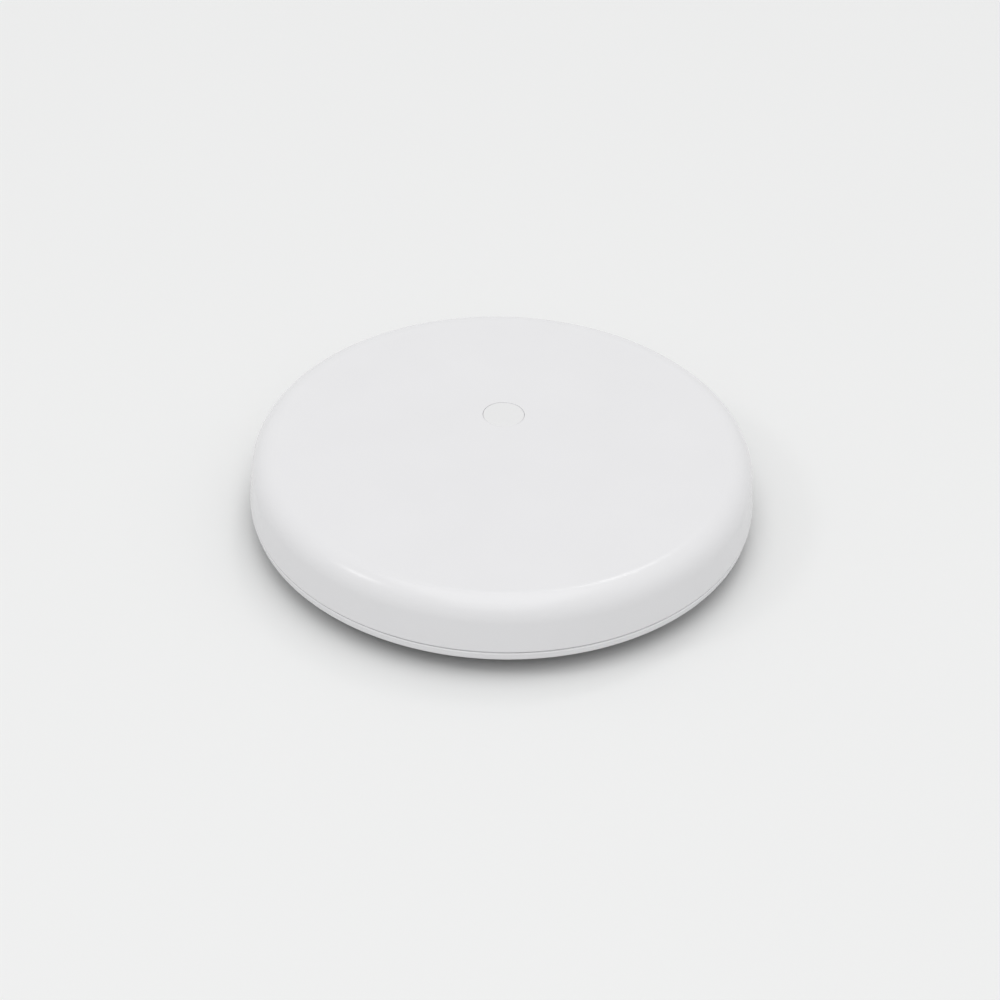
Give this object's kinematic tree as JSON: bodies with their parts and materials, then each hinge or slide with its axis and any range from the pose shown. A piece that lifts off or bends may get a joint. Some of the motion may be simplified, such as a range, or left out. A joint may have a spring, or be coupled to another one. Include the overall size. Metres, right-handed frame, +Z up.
{
  "type": "water leak sensor",
  "caption": "Low round white puck that lies on a floor, with steel studs under it that sense water, a flush test button on top and a battery door below.",
  "frame": {"origin": "on the floor under the middle of the sensor", "axes": "+Z up; -Y is the side that faces the viewer of the picture, +X is to the right"},
  "size_m": [0.076, 0.076, 0.0131],
  "materials": {
    "cover_plastic": "satin, fine moulded texture",
    "base_plastic": "satin, fine moulded texture",
    "button_plastic": "satin, milky",
    "seal_rubber": "matte",
    "stud_steel": "turned",
    "cell_steel": "rolled, fine grain",
    "shield_tin": "tinned",
    "contact_bronze": "plated",
    "board_laminate": "lacquered",
    "chip_resin": "matte",
    "ceramic": "fired",
    "led_resin": "clear resin"
  },
  "bodies": {
    "housing": {"top_cover": "cover_plastic", "base_shell": "base_plastic", "housing_gasket": "seal_rubber", "probe_front": "stud_steel", "probe_rear_right": "stud_steel", "probe_rear_left": "stud_steel", "probe_nuts": "stud_steel", "circuit_board": "board_laminate", "radio_shield": "shield_tin", "radio_chip": "chip_resin", "chip_antenna": "ceramic", "clock_crystal": "shield_tin", "detector_chip": "chip_resin", "capacitors": "ceramic", "resistors": "chip_resin", "tactile_switch": "chip_resin", "status_led": "led_resin", "negative_contact": "contact_bronze", "positive_contact": "contact_bronze"},
    "button": {"test_button": "button_plastic"},
    "plunger": {"switch_plunger": "button_plastic"},
    "cell": {"coin_cell": "cell_steel"},
    "door": {"battery_door": "base_plastic", "door_seal": "seal_rubber"}
  },
  "joints": [
    {"name": "button_press", "type": "slide", "parent": "housing", "child": "button", "axis": [0, 0, -1], "range_m": [0, 0.0003], "stiffness_N_per_m": 800, "springref_m": -0.0005},
    {"name": "plunger_press", "type": "slide", "parent": "housing", "child": "plunger", "axis": [0, 0, -1], "range_m": [0, 0.0003]},
    {"name": "cell_drop", "type": "slide", "parent": "housing", "child": "cell", "axis": [0, 0, -1], "range_m": [0, 0.0091]},
    {"name": "door_turn", "type": "hinge", "parent": "cell", "child": "door", "pos_m": [0, 0, 0], "axis": [0, 0, -1], "range_deg": [0, 225]}
  ],
  "couplings": [
    {"joint": "plunger_press", "follows": "button_press", "ratio": 1},
    {"joint": "cell_drop", "follows": "door_turn", "m_per_rad": 0.0022918}
  ]
}
